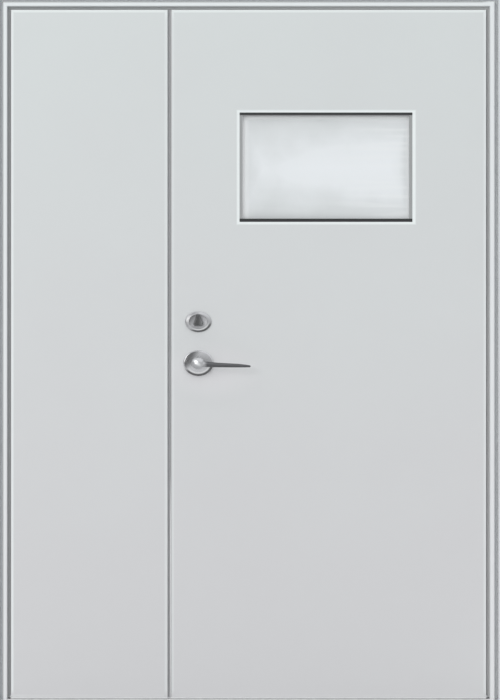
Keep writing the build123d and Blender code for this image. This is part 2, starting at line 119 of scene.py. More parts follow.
def place_noise(tree, scale, detail=3.0, stretch=(1.0, 1.0, 1.0)):
    """Noise on Object coordinates; stretch squeezes or draws it out along an axis."""
    where = tree.nodes.new("ShaderNodeTexCoord")
    mapping = tree.nodes.new("ShaderNodeMapping")
    mapping.inputs["Scale"].default_value = stretch
    noise = tree.nodes.new("ShaderNodeTexNoise")
    noise.inputs["Scale"].default_value = scale
    noise.inputs["Detail"].default_value = detail
    tree.links.new(where.outputs["Object"], mapping.inputs["Vector"])
    tree.links.new(mapping.outputs["Vector"], noise.inputs["Vector"])
    return noise.outputs["Fac"]


def rescale(tree, value, *span, smooth=False):
    """Map a value by a span: from, to, value at from, value at to. It is clamped at both ends."""
    ranged = tree.nodes.new("ShaderNodeMapRange")
    ranged.interpolation_type = "SMOOTHSTEP" if smooth else "LINEAR"
    for socket, number in zip(ranged.inputs[1:5], span):
        socket.default_value = float(number)
    tree.links.new(value, ranged.inputs["Value"])
    return ranged.outputs["Result"]


def spread(tree, noise, low, high):
    """Map a noise from its usual 0.3 to 0.7 onto low to high."""
    return rescale(tree, noise, 0.3, 0.7, low, high)


print("kit: places and noise")

# %% [markdown]
# ## Masks
# A mask is a value that is 1 where a mark is and 0 where it isn't. Plain sums on the coordinates make
# one: how far a place is from a point or outside a rectangle, and whether it lies in a band.


# %% Sums and masks
def math_node(tree, operation, first, second=None, clamp=False):
    """One Math node; each input is an output to link or a plain number."""
    node = tree.nodes.new("ShaderNodeMath")
    node.operation = operation
    node.use_clamp = clamp
    for socket, value in zip(node.inputs, (first, second)):
        if isinstance(value, (int, float)):
            socket.default_value = float(value)
        elif value is not None:
            tree.links.new(value, socket)
    return node.outputs[0]


def combine(tree, operation, first, *others):
    """Several values made one by the same operation, such as MULTIPLY or MAXIMUM."""
    for other in others:
        first = math_node(tree, operation, first, other)
    return first


def length_of(tree, first, second):
    """Length of a step with two parts at right angles."""
    squares = [math_node(tree, "MULTIPLY", part, part) for part in (first, second)]
    return math_node(tree, "SQRT", math_node(tree, "ADD", *squares))


def outside_of(tree, axes, low, high):
    """How far a place is outside a rectangle in X and Z, in metres: negative inside, zero on its edge."""
    reach = []
    for axis, index in (("X", 0), ("Z", 2)):
        middle, half = (low[index] + high[index]) / 2, (high[index] - low[index]) / 2
        away = math_node(tree, "ABSOLUTE", math_node(tree, "SUBTRACT", axes[axis], middle))
        reach.append(math_node(tree, "SUBTRACT", away, half))
    return math_node(tree, "MAXIMUM", *reach)


def band(tree, value, start, end, soft):
    """1 between start and end, 0 outside them, going over within soft on both sides of each."""
    begun = rescale(tree, value, start - soft, start + soft, 0.0, 1.0)
    not_over = rescale(tree, value, end - soft, end + soft, 1.0, 0.0)
    return math_node(tree, "MULTIPLY", begun, not_over)


print("kit: sums and masks")

# %% [markdown]
# ## Colours and relief
# A Mix node lays one colour over another by a mask. Relief that is too fine to model, such as
# scratches, is left to a Bump node. On long sheet faces the bump starts from the true normal of the
# face, because blended normals would shade a flat sheet as if it were bent.


# %% Colours and bump
def times(colour, gain):
    """A colour triple made lighter or darker by a plain factor."""
    return tuple(part * gain for part in colour)


def tint(tree, value, dark, light):
    """Mix two colours, each a triple or an output, by a pattern between 0 and 1."""
    mix = tree.nodes.new("ShaderNodeMix")
    mix.data_type = "RGBA"
    for socket, colour in ((mix.inputs[6], dark), (mix.inputs[7], light)):
        if isinstance(colour, tuple):
            socket.default_value = (*colour, 1.0)
        else:
            tree.links.new(colour, socket)
    tree.links.new(value, mix.inputs["Factor"])
    return mix.outputs[2]


def scaled(tree, colour, gain):
    """A colour output made lighter or darker by a plain factor."""
    mix = tree.nodes.new("ShaderNodeMix")
    mix.data_type = "RGBA"
    mix.blend_type = "MULTIPLY"
    mix.inputs["Factor"].default_value = 1.0
    mix.inputs[7].default_value = (gain, gain, gain, 1.0)
    tree.links.new(colour, mix.inputs[6])
    return mix.outputs[2]


def faded(tree, tone, start, end, far_tone):
    """Let a colour go over to another one between two places along X."""
    along = rescale(tree, place_axes(tree)["X"], start, end, 0.0, 1.0, smooth=True)
    return tint(tree, along, tone, far_tone)


def bump(tree, shader, value, distance, strength=1.0, flat=False):
    """Raise a pattern by a distance in metres; flat is for long sheet faces."""
    lift = tree.nodes.new("ShaderNodeBump")
    lift.inputs["Strength"].default_value = strength
    lift.inputs["Distance"].default_value = distance
    tree.links.new(value, lift.inputs["Height"])
    if flat:
        geometry = tree.nodes.new("ShaderNodeNewGeometry")
        tree.links.new(geometry.outputs["True Normal"], lift.inputs["Normal"])
    tree.links.new(lift.outputs["Normal"], shader.inputs["Normal"])


print("kit: colours and bump")

# %% [markdown]
# ## Paint
# The leaves and the frame are sprayed with a satin pale grey. Sprayed paint is never quite flat: it
# dries with a fine orange peel, a few hundredths of a millimetre high, and its tone drifts a little
# over a metre. The colour also goes from a cool pale grey at the top to a duller neutral one at the
# floor: painted light from above, with painted shade growing towards the floor.

# %% Sprayed paint
# Painted light from above: the paint goes from darker at the floor to lighter at the top.
SHADED_TO_LIT = (0.4, 2.1, 0.0, 1.0)
TONE_SCALE, TONE_DRIFT = 2.2, 0.10
GLOSS_SCALE, GLOSS_DRIFT = 25.0, 0.04
PEEL_SCALE, PEEL_HEIGHT, PEEL_STRENGTH = 420.0, 0.00006, 0.5
FRONT_UNTIL, BEHIND_FROM = 0.004, 0.008


def orange_peel(tree, shader):
    """Fine bumps of dried spray on a flat sheet."""
    bump(tree, shader, place_noise(tree, PEEL_SCALE, 2.0), PEEL_HEIGHT, PEEL_STRENGTH, flat=True)


def sprayed_paint(name, top, bottom, roughness):
    """Satin paint without marks: from bottom to top colour by the height (painted light) plus a slow
    drift.

    Returns the material, its tree, shader and axes, and the colour, which is linked when its marks are on.
    """
    material, tree, shader = new_finish(name, top, roughness)
    axes = place_axes(tree)
    # Painted light: the colour grows lighter with the height.
    height = rescale(tree, axes["Z"], *SHADED_TO_LIT)
    drift = spread(tree, place_noise(tree, TONE_SCALE, 4.0), -TONE_DRIFT, TONE_DRIFT)
    colour = tint(tree, math_node(tree, "ADD", height, drift, clamp=True), bottom, top)
    sheen = place_noise(tree, GLOSS_SCALE)
    gloss = spread(tree, sheen, roughness - GLOSS_DRIFT, roughness + GLOSS_DRIFT)
    tree.links.new(gloss, shader.inputs["Roughness"])
    orange_peel(tree, shader)
    return material, tree, shader, axes, colour


def on_front(tree, axes):
    """1 on the front face of the leaves and the frame, 0 behind it."""
    return rescale(tree, axes["Y"], front_face + FRONT_UNTIL, front_face + BEHIND_FROM, 1.0, 0.0)


print("paint between", SHADED_TO_LIT[0], "and", SHADED_TO_LIT[1], "m changes from shaded to lit")

# %% [markdown]
# ## Painted light and shade on the leaves
# Along a leaf's outline and round the window a painted highlight makes the paint lighter. A thin
# painted shade lies at a leaf's left edge beside the gap, painted light lifts the lever's shadow beside
# the lever, and a painted shadow shows as a dark line over and under the window's strips. Each mark is
# a mask worked out from the box of the leaf, the window or the lever, so it stays with its piece.

# %% Masks of the marks
# Painted highlight along a leaf's outline: its width and its strength to the left, top and floor.
HIGHLIGHT_EDGE = (-0.011, -0.006, 0.0, 1.0)
HIGHLIGHT_TO_LEFT = (-0.70, -0.40, 0.65, 0.30)
HIGHLIGHT_TO_TOP = (2.04, 2.06, 0.30, 0.60)
HIGHLIGHT_OFF_FLOOR = (0.018, 0.030, 0.2, 1.0)
# Painted highlight round the window: its band, a little wider at the right.
BORDER = (0.005, 0.011, 0.9, 0.0)
BORDER_AT_RIGHT = np.array((0.002, 0.0, 0.0))
# Painted shade at a leaf's left edge, beside the gap: where it starts and ends.
EDGE_SHADE_START, EDGE_SHADE_END = 0.001, 0.004
# Painted shadow over and under the window's strips: how far it reaches beyond them.
SEAM_ABOVE = np.array((0.0, 0.0, 0.0011))
SEAM_BELOW = 0.7 * SEAM_ABOVE
SEAM = (-0.0003, 0.0003, 1.0, 0.0)
# Painted light beside the lever, fading out to the oval's rim.
LIGHT_PLACE_FADE = (0.2, 1.0, 1.0, 0.0)


def highlit_outline(tree, axes, low, high):
    """Painted highlight on a leaf's outline: stronger to the far left and at the top, faint at the floor.
    """
    edge = rescale(tree, outside_of(tree, axes, low, high), *HIGHLIGHT_EDGE, smooth=True)
    to_left = rescale(tree, axes["X"], *HIGHLIGHT_TO_LEFT)
    to_top = rescale(tree, axes["Z"], *HIGHLIGHT_TO_TOP)
    strength = math_node(tree, "MAXIMUM", to_left, to_top)
    off_floor = rescale(tree, axes["Z"], *HIGHLIGHT_OFF_FLOOR)
    return combine(tree, "MULTIPLY", edge, strength, off_floor, on_front(tree, axes))


def shaded_left_edge(tree, axes, low):
    """Painted shade: a thin dark line at a leaf's left edge, beside the gap."""
    line = rescale(tree, axes["X"], low[0] + EDGE_SHADE_START, low[0] + EDGE_SHADE_END, 1.0, 0.0)
    return math_node(tree, "MULTIPLY", line, on_front(tree, axes))


def highlit_border(tree, axes, low, high):
    """Painted highlight in a band round the window, a little wider at its right."""
    edge = outside_of(tree, axes, low, high + BORDER_AT_RIGHT)
    return math_node(tree, "MULTIPLY", rescale(tree, edge, *BORDER, smooth=True), on_front(tree, axes))


def seam_shadow_line(tree, axes, low, high):
    """Painted shadow in a line over and under the window's strips; it goes on into the depth of the cut.
    """
    return rescale(tree, outside_of(tree, axes, low - SEAM_BELOW, high + SEAM_ABOVE), *SEAM)


def painted_light_place(tree, axes, middle, halves):
    """Painted light lifting the lever's shadow: an oval, middle and half sizes in X and Z, fading to its
    rim.
    """
    steps = []
    for axis, place, half in zip("XZ", middle, halves):
        step = math_node(tree, "SUBTRACT", axes[axis], place)
        steps.append(math_node(tree, "DIVIDE", step, half))
    near = rescale(tree, length_of(tree, *steps), *LIGHT_PLACE_FADE, smooth=True)
    return math_node(tree, "MULTIPLY", near, on_front(tree, axes))


print("painted edge highlights", round(1000 * (HIGHLIGHT_EDGE[1] - HIGHLIGHT_EDGE[0])), "mm soft")

# %% [markdown]
# ## Paint of the leaves
# The two leaves have the same paint, but each has marks of its own, so each gets its own material. The
# marks are laid over the paint one after another, the last one on top.

# %% Leaf paints
# Leaf paint at the top and at the floor; the step between them is painted light from above.
LEAF_TOP = (0.693, 0.723, 0.716)
LEAF_BOTTOM = (0.652, 0.648, 0.653)
LEAF_ROUGHNESS = 0.42
# Painted highlight colour along the outlines and round the window.
HIGHLIGHT_PAINT = times(LEAF_TOP, 1.28)
# Painted light colour for the place beside the lever.
LIGHT_PLACE_PAINT = times(LEAF_BOTTOM, 1.14)
# Painted shadow colour for the lines over and under the window's strips.
SEAM_SHADOW = (0.12, 0.12, 0.12)


def leaf_paint(name, leaf, edge_shade, window_box=None, lit_place=None):
    """Leaf paint with painted light and shade; edge shade is a gain, lit place a middle and half sizes."""
    material, tree, shader, axes, colour = sprayed_paint(name, LEAF_TOP, LEAF_BOTTOM, LEAF_ROUGHNESS)
    # Painted highlight along the outline first, then the other painted light and shade.
    marks = [(highlit_outline(tree, axes, *leaf), HIGHLIGHT_PAINT)]
    # Painted shade: a dark line at the leaf's left edge, beside the gap.
    marks.append((shaded_left_edge(tree, axes, leaf[0]), times(LEAF_BOTTOM, edge_shade)))
    if window_box is not None:
        # Painted highlight round the window.
        marks.append((highlit_border(tree, axes, *window_box), HIGHLIGHT_PAINT))
        # Painted shadow over and under the window's strips.
        marks.append((seam_shadow_line(tree, axes, *window_box), SEAM_SHADOW))
    # Painted light over the lever's shadow.
    if lit_place is not None:
        marks.append((painted_light_place(tree, axes, *lit_place), LIGHT_PLACE_PAINT))
    for mask, mark in marks:
        colour = tint(tree, mask, colour, mark)
    tree.links.new(colour, shader.inputs["Base Color"])
    return material


# Painted light beside the lever, over its shadow: the middle and half sizes of the oval.
by_the_lever = ((spindle_x + 0.045, spindle_z - 0.025), (0.17, 0.10))
# The number after each leaf is the gain of the painted shade at its left edge.
leaf_paints = {
    "small": leaf_paint("small_leaf_paint", small_leaf, 0.95),
    "main": leaf_paint("main_leaf_paint", main_leaf, 0.7, window, by_the_lever),
}
print("paint:", [paint.name for paint in leaf_paints.values()])

# %% [markdown]
# ## Paint of the frame
# The frame is one folded sheet with a groove round its face. Some folds get a painted highlight and
# some a painted shade against the flats beside them, in a line only a pixel or two wide, and painted
# shade greys the groove a little. All of this runs round the opening, so one distance, how far a place
# is outside the opening, says where each fold is.

# %% Folds and groove
# Frame paint at the top and at the floor; the step between them is painted light from above.
FRAME_TOP = (0.76, 0.79, 0.79)
FRAME_BOTTOM = (0.73, 0.735, 0.74)
FRAME_ROUGHNESS = 0.40
# Painted shade down in the groove: a slightly darker grey.
GROOVE_SHADE = (0.71, 0.725, 0.735)
GROOVE = (0.0150, 0.0250, 0.0005)
GROOVE_MOUTH, GROOVE_DEEP = 0.001, 0.008
WEAKER_AT_RIGHT = (0.70, 0.72, 1.0, 0.2)
# Painted light and shade along the folds, one row a fold: its span, the gain on the paint,
# and whether it is weaker on the right jamb.
FOLDS = (
    ((0.0010, 0.0050, 0.0, 1.0), 1.07, False),
    ((0.0005, 0.0040, 1.0, 0.0), 0.86, False),
    ((0.0090, 0.0145, 0.0, 1.0), 0.52, True),
    ((0.0200, 0.0240, 0.0, 1.0), 0.74, False),
    ((0.0265, 0.0290, 0.0, 1.0), 1.00, False),
)
LEAF_GAP = 0.010
UNDER_FLOOR = -1.0
opening_low, opening_high = small_leaf[0] - LEAF_GAP, main_leaf[1] + LEAF_GAP
opening_low[2] = UNDER_FLOOR


def folded_paint(name):
    """Paint with painted light and shade on each fold by its distance from the opening, and in the groove.
    """
    material, tree, shader, axes, plain = sprayed_paint(name, FRAME_TOP, FRAME_BOTTOM, FRAME_ROUGHNESS)
    away = outside_of(tree, axes, opening_low, opening_high)
    in_front = on_front(tree, axes)
    left_light = rescale(tree, axes["X"], *WEAKER_AT_RIGHT)
    colour = plain
    # Painted highlights and shades of the folds, laid one over another.
    for span, gain, weaker in FOLDS:
        fold = math_node(tree, "MULTIPLY", rescale(tree, away, *span, smooth=True), in_front)
        if weaker:
            fold = math_node(tree, "MULTIPLY", fold, left_light)
        colour = tint(tree, fold, colour, scaled(tree, plain, gain))
    # Painted shade down in the groove, deeper than its mouth.
    deep = rescale(tree, axes["Y"], front_face + GROOVE_MOUTH, front_face + GROOVE_DEEP, 0.0, 1.0)
    groove_shade = math_node(tree, "MULTIPLY", band(tree, away, *GROOVE), deep)
    tree.links.new(tint(tree, groove_shade, colour, GROOVE_SHADE), shader.inputs["Base Color"])
    return material


frame_paint = folded_paint("frame_paint")
print("paint:", frame_paint.name, "round an opening", np.round(opening_high - opening_low, 4)[0], "m wide")

# %% [markdown]
# ## Brushed metal
# Lever, turn, bolts, hinges and threshold are metal with a brushed grain. A metal shows its
# surroundings, so its own colour only scales them. Brushing is a noise drawn out along one axis, which
# varies the gloss and scratches the surface by one or two hundredths of a millimetre. To the right the
# lever's arm is painted darker, a painted reflection of a darker part of the room, and the turn is
# painted lighter, painted light on its right side, so their colours fade along X. The lever's boss has
# a painted highlight, a spot of bright colour.

# %% Brushed metals
ALONG_X = (40.0, 2500.0, 2500.0)
ALONG_Z = (2500.0, 2500.0, 40.0)
ALL_ROUND = (900.0, 900.0, 900.0)
FINE, PLAIN = 0.00001, 0.00002
GRAIN_GLOSS = 0.05
SCRATCH_STRENGTH = 0.6
CLOUD_SCALE, CLOUD_DARK, CLOUD_LIGHT = 60.0, 0.92, 1.06
BRIGHT_METAL = (0.97, 0.97, 0.97)
SPOT_LEAN, SPOT_WIDE, SPOT_CORE = 0.5, 0.6, 0.3


def bright_spot(tree, tone, x, z, radius):
    """Painted highlight: lighten a tone round a place, in an oval that leans down to the right."""
    axes = place_axes(tree)
    aside, up = [math_node(tree, "SUBTRACT", axes[axis], place) for axis, place in (("X", x), ("Z", z))]
    up = math_node(tree, "ADD", up, math_node(tree, "MULTIPLY", aside, SPOT_LEAN))
    reach = length_of(tree, math_node(tree, "MULTIPLY", aside, SPOT_WIDE), up)
    near = rescale(tree, reach, SPOT_CORE * radius, radius, 1.0, 0.0, smooth=True)
    return tint(tree, near, tone, BRIGHT_METAL)


def brushed_metal(name, colour, roughness, stretch, scratch, fade=None, spot=None):
    """Metal with a brushed grain: stretch is small along the grain and large across it.

    With fade, two places along X and a colour, the metal goes over to that colour as painted light and
    shade. With spot, a place in X and Z and a radius, it is bright there: a painted highlight.
    """
    material, tree, shader = new_finish(name, colour, roughness, metallic=1.0)
    grain = place_noise(tree, 1.0, 4.0, stretch)
    cloud = spread(tree, place_noise(tree, CLOUD_SCALE, 2.0), 0.0, 1.0)
    tone = tint(tree, cloud, times(colour, CLOUD_DARK), times(colour, CLOUD_LIGHT))
    if fade is not None:
        tone = faded(tree, tone, *fade)
    if spot is not None:
        tone = bright_spot(tree, tone, *spot)
    tree.links.new(tone, shader.inputs["Base Color"])
    gloss = spread(tree, grain, roughness - GRAIN_GLOSS, roughness + GRAIN_GLOSS)
    tree.links.new(gloss, shader.inputs["Roughness"])
    bump(tree, shader, grain, scratch, SCRATCH_STRENGTH)
    return material


# Painted reflection: the lever's arm darkens to the right of its boss.
arm_fade = (spindle_x + 0.013, spindle_x + 0.030, (0.14, 0.14, 0.145))
# Painted highlight on the lever's boss.
boss_spot = (spindle_x - 0.004, spindle_z + 0.001, 0.009)
# Painted light and shade: the turn is darker on its left and lighter to the right.
turn_fade = (spindle_x - 0.002, spindle_x + 0.012, (0.30, 0.30, 0.30))
BRUSHED = {
    "cylinder_metal": ((0.56, 0.55, 0.53), 0.24, ALL_ROUND, FINE),
    "lever_metal": ((0.57, 0.57, 0.58), 0.38, ALONG_X, FINE, arm_fade, boss_spot),
    "turn_metal": ((0.145, 0.145, 0.145), 0.30, ALONG_Z, PLAIN, turn_fade),
    "edge_steel": ((0.56, 0.56, 0.55), 0.32, ALONG_Z, PLAIN),
    "hinge_steel": ((0.52, 0.53, 0.55), 0.36, ALONG_Z, PLAIN),
    "threshold_steel": ((0.78, 0.78, 0.78), 0.50, ALONG_X, PLAIN),
    "spacer_metal": ((0.70, 0.70, 0.70), 0.45, ALONG_X, PLAIN),
}
metals = {name: brushed_metal(name, *look) for name, look in BRUSHED.items()}
print(len(metals), "brushed metals mixed")

# %% [markdown]
# ## Plated roses
# The two oval roses are plated and polished. Polish shows the room as bright and dark crescents, which
# a simple studio can't give, so they are painted into the colour: the upper left is painted darker as a
# dark reflection, and along the underside a bright ring, a painted reflection, lies inside a dark rim,
# a painted shadow. The deadlock's rose also has a matt bowl round its turn.

# %% Plated ovals
# Painted dark reflection: where it lies toward the upper left, and where it ends inside the rim.
UPPER_LEFT = (-0.85, 0.5, 0.2, 0.75)
INSIDE_RIM = (0.90, 0.97, 1.0, 0.0)
# Painted bright reflection ring and painted shadow rim along the underside, and their colours.
RING = (0.69, 0.75, 0.0, 1.0)
RIM = (0.81, 0.87, 0.0, 1.0)
RING_REFLECTION = (0.80, 0.80, 0.80)
RIM_SHADOW = (0.16, 0.16, 0.16)
BOWL_SOFT, BOWL_MATT = 0.01, 0.30
PLATED_GRAIN = 900.0


def plated_rose(name, colour, roughness, box, underside, dark_reflection_gain, bowl):
    """Plated oval: a painted dark reflection at its upper left, and along its underside a painted bright
    reflection ring inside a painted shadow rim.

    u and v run from -1 to 1 over the oval, and rho = sqrt(u^2 + v^2) is 1 on its rim. A side, such as
    underside, is a direction in u and v and the two reaches along it between which its mask sets in.
    Inside rho = bowl the metal is matt.
    """
    material, tree, shader = new_finish(name, colour, roughness, metallic=1.0)
    low, high = box
    axes = place_axes(tree)
    u = rescale(tree, axes["X"], low[0], high[0], -1.0, 1.0)
    v = rescale(tree, axes["Z"], low[2], high[2], -1.0, 1.0)
    rho = length_of(tree, u, v)

    def on_side(toward_u, toward_v, start, end):
        reach = [math_node(tree, "MULTIPLY", u, toward_u), math_node(tree, "MULTIPLY", v, toward_v)]
        return rescale(tree, math_node(tree, "ADD", *reach), start, end, 0.0, 1.0, smooth=True)

    below = on_side(*underside)
    # Painted dark reflection at the upper left; below it a painted reflection ring and a painted shadow
    # rim.
    dark_reflection = math_node(tree, "MULTIPLY", on_side(*UPPER_LEFT), rescale(tree, rho, *INSIDE_RIM))
    tone = tint(tree, dark_reflection, colour, times(colour, dark_reflection_gain))
    for span, metal in ((RING, RING_REFLECTION), (RIM, RIM_SHADOW)):
        tone = tint(tree, math_node(tree, "MULTIPLY", rescale(tree, rho, *span), below), tone, metal)
    tree.links.new(tone, shader.inputs["Base Color"])
    grain = place_noise(tree, PLATED_GRAIN, 4.0)
    matt = rescale(tree, rho, bowl - BOWL_SOFT, bowl + BOWL_SOFT, BOWL_MATT, 0.0)
    gloss = spread(tree, grain, roughness - GRAIN_GLOSS, roughness + GRAIN_GLOSS)
    tree.links.new(math_node(tree, "ADD", gloss, matt), shader.inputs["Roughness"])
    bump(tree, shader, grain, FINE, SCRATCH_STRENGTH)
    return material


PLATED = {
    "rose_metal": ((0.65, 0.65, 0.66), 0.20, rose, (0.25, -0.97, 0.1, 0.5), 0.27, 0.0),
    "turn_rose_metal": ((0.55, 0.55, 0.56), 0.34, turn_rose, (0.40, -0.92, 0.3, 0.7), 0.55, 0.71),
}
metals.update({name: plated_rose(name, *look) for name, look in PLATED.items()})
print(len(PLATED), "plated roses,", len(metals), "metals in all")

# %% [markdown]
# ## Rubber and pile
# The seal at the back and the strips over and under the window are black rubber; the strips in the gap
# and under the leaves are grey, and the grey in the gaps is painted lighter towards the right as painted
# light. All are matt with a fine moulded grain. The upper window strip has a grey lip along its lower
# edge, which is no more than a line, so it is a band of colour.

# %% Rubber
RUBBER_GRAIN, GRAIN_DARK, GRAIN_LIGHT = 900.0, 0.85, 1.15
GRAIN_HEIGHT, GRAIN_STRENGTH = 0.00008, 0.6
LIP_SOFT = 0.0003


def dull_rubber(name, colour, roughness, fade=None, lip=None):
    """Matt rubber with a fine grain that shows in its tone and as bump; fade as for metal.

    With lip, two heights and a colour, the strip between them is of that colour.
    """
    material, tree, shader = new_finish(name, colour, roughness)
    grain = place_noise(tree, RUBBER_GRAIN, 2.0)
    dark, light = times(colour, GRAIN_DARK), times(colour, GRAIN_LIGHT)
    tone = tint(tree, spread(tree, grain, 0.0, 1.0), dark, light)
    if fade is not None:
        tone = faded(tree, tone, *fade)
    if lip is not None:
        start, end, lip_colour = lip
        tone = tint(tree, band(tree, place_axes(tree)["Z"], start, end, LIP_SOFT), tone, lip_colour)
    tree.links.new(tone, shader.inputs["Base Color"])
    bump(tree, shader, grain, GRAIN_HEIGHT, GRAIN_STRENGTH)
    return material


window_left, window_top = window[0][0], window[1][2]
rail_lip = (window_top - 0.0095, window_top - 0.0068, (0.30, 0.30, 0.30))
# Painted light: the grey strips in the gaps grow lighter towards the right.
gap_fade = (-0.7, 0.7, (0.50, 0.50, 0.50))
RUBBER = {
    "seal_rubber": ((0.022, 0.022, 0.022), 0.75),
    "gap_seal_rubber": ((0.40, 0.405, 0.41), 0.7, gap_fade),
    "bottom_seal_rubber": ((0.84, 0.84, 0.84), 0.7),
    "window_rail": ((0.020, 0.021, 0.022), 0.6, None, rail_lip),
    "brush_pile": ((0.55, 0.55, 0.56), 0.9),
}
rubbers = {name: dull_rubber(name, *look) for name, look in RUBBER.items()}
print(len(rubbers), "rubbers mixed")

# %% [markdown]
# ## Painted window strips
# The strips at the window's sides are painted a middle grey. The inner edge of the left one has a
# painted highlight, again as a band of colour, because it is only a thin line.

# %% Painted strips
EDGE_SOFT = 0.0006
STRIP_DARK = 0.97


def painted_strip(name, colour, roughness, edge, edge_colour):
    """Satin paint with a soft tone drift, painted another colour between two places on X as a highlight.
    """
    material, tree, shader = new_finish(name, colour, roughness)
    drift = spread(tree, place_noise(tree, GLOSS_SCALE), 0.0, 1.0)
    tone = tint(tree, drift, times(colour, STRIP_DARK), colour)
    tone = tint(tree, band(tree, place_axes(tree)["X"], *edge, EDGE_SOFT), tone, edge_colour)
    tree.links.new(tone, shader.inputs["Base Color"])
    orange_peel(tree, shader)
    return material


# Painted highlight along the inner edge of the left strip.
lit_edge = (window_left + 0.0089, window_left + 0.0150)
stile_paint = painted_strip("window_stile", (0.35, 0.36, 0.36), 0.45, lit_edge, (0.90, 0.90, 0.90))
print("strips:", stile_paint.name)

# %% [markdown]
# ## Frosted glass
# The pane is milky: its etched face scatters light so strongly that only brightness comes through. Its
# colour is bright in the middle and greyer towards its border, a painted shade that is stronger at the
# left, where the strips shade it, and painted light keeps its right side brighter. The right side has
# faint level streaks, and beside the strips painted lines of light lie on the pane. So the pane is mostly
# a pale scattering surface, with a little rough transmission.

# %% Patterns on the pane
# Painted shade: tones from the pane's border, where it is shaded, to its middle.
PANE_TONES = (
    (0.00, (0.72, 0.745, 0.745)),
    (0.17, (0.77, 0.795, 0.795)),
    (0.36, (0.815, 0.84, 0.845)),
    (0.60, (0.890, 0.915, 0.925)),
    (1.00, (0.915, 0.94, 0.955)),
)
SHADE_DEPTH = 0.16
WANDER_SCALE, WANDER = 9.0, 0.02
FROM_SIDES = (0.2, 1.0, 1.5, 2.6)
FROM_ENDS = (0.2, 1.0, 0.68, 1.15)
# Painted light: the pane is kept lighter towards its right.
LIGHTER_TO_RIGHT = (0.35, 1.0, 0.0, 0.38)
STREAKS = (0.46, 0.64, 0.0, 0.60)
STREAKS_TO_RIGHT = (0.5, 1.0, 0.1, 1.0)
STREAK_STRETCH = (4.0, 4.0, 60.0)
# Painted lines of light, in metres from the left side, the right side and the top.
LIT_LEFT = (0.012, 0.030, 1.0, 0.0)
LIT_RIGHT = (-0.022, -0.012, 0.0, 0.6)
LIT_TOP = (-0.022, -0.012, 0.0, 1.0)


def pane_depth(tree, axes, sideways, low, high):
    """0 at the pane's border to 1 well inside, by the least distance to a side or an end.

    Distances count for more towards the right, and the right side never goes back to 0. The value sets
    the painted shade towards the border and the painted light towards the right.
    """
    inward = []
    for axis, index, span in (("X", 0, FROM_SIDES), ("Z", 2, FROM_ENDS)):
        middle, half = (low[index] + high[index]) / 2, (high[index] - low[index]) / 2
        away = math_node(tree, "ABSOLUTE", math_node(tree, "SUBTRACT", axes[axis], middle))
        within = math_node(tree, "SUBTRACT", half, away)
        inward.append(math_node(tree, "MULTIPLY", within, rescale(tree, sideways, *span)))
    wander = spread(tree, place_noise(tree, WANDER_SCALE), -WANDER, WANDER)
    reach = math_node(tree, "ADD", math_node(tree, "MINIMUM", *inward), wander)
    deep = rescale(tree, reach, 0.0, SHADE_DEPTH, 0.0, 1.0)
    return math_node(tree, "MAXIMUM", deep, rescale(tree, sideways, *LIGHTER_TO_RIGHT))


def level_streaks(tree, sideways):
    """Noise drawn out level, fading out to the left."""
    level = place_noise(tree, 1.0, 1.0, STREAK_STRETCH)
    to_right = rescale(tree, sideways, *STREAKS_TO_RIGHT)
    return math_node(tree, "MULTIPLY", rescale(tree, level, *STREAKS), to_right)


def beside_strips(tree, axes, low, high):
    """Painted lines of light along both sides and the top of the pane."""
    lines = []
    for axis, edge, span in (("X", low[0], LIT_LEFT), ("X", high[0], LIT_RIGHT), ("Z", high[2], LIT_TOP)):
        lines.append(rescale(tree, math_node(tree, "SUBTRACT", axes[axis], edge), *span))
    return combine(tree, "MAXIMUM", *lines)


print(len(PANE_TONES), "tones from the pane's border to its middle")

# %% [markdown]
# ## Mixing the glass
# A Color Ramp turns the depth into tones. It starts with two stops, at 0 and 1, so only those between
# are added.

# %% Frosted pane
GLASS, GLASS_ROUGHNESS = (0.79, 0.82, 0.84), 0.38
TRANSMISSION, GLASS_IOR = 0.08, 1.5
# Colours of the streaks and of the painted lines of light beside the strips.
STREAK_TONE, LIT_TONE = (0.93, 0.95, 0.95), (0.95, 0.96, 0.96)
ETCH_SCALE, ETCH_HEIGHT, ETCH_STRENGTH = 1500.0, 0.00004, 0.4


def tone_ramp(tree, value, stops):
    """Colours by a value from 0 to 1; stops are places and colours in order."""
    ramp = tree.nodes.new("ShaderNodeValToRGB")
    elements = ramp.color_ramp.elements
    for place, _ in stops[1:-1]:
        elements.new(place)
    for element, (_, colour) in zip(elements, stops):
        element.color = (*colour, 1.0)
    tree.links.new(value, ramp.inputs["Fac"])
    return ramp.outputs["Color"]


def frosted_glass(name, low, high):
    """Etched glass: painted shade by depth, then streaks and painted lines of light; fine grain as bump.
    """
    material, tree, shader = new_finish(name, GLASS, GLASS_ROUGHNESS)
    shader.inputs["Transmission Weight"].default_value = TRANSMISSION
    shader.inputs["IOR"].default_value = GLASS_IOR
    axes = place_axes(tree)
    sideways = rescale(tree, axes["X"], low[0], high[0], 0.0, 1.0)
    colour = tone_ramp(tree, pane_depth(tree, axes, sideways, low, high), PANE_TONES)
    colour = tint(tree, level_streaks(tree, sideways), colour, STREAK_TONE)
    colour = tint(tree, beside_strips(tree, axes, low, high), colour, LIT_TONE)
    tree.links.new(colour, shader.inputs["Base Color"])
    bump(tree, shader, place_noise(tree, ETCH_SCALE, 2.0), ETCH_HEIGHT, ETCH_STRENGTH)
    return material


frosted = frosted_glass("frosted_glass", *pane)
print("glass:", frosted.name)

# %% [markdown]
# ## Giving each piece its finish
# The record of the part names a slot for every node. A dictionary from slot to finish then dresses all
# of them, and nothing is left with the plain colour it came with. The two leaves share a slot but not
# their marks, so their paint is picked by the node's name.

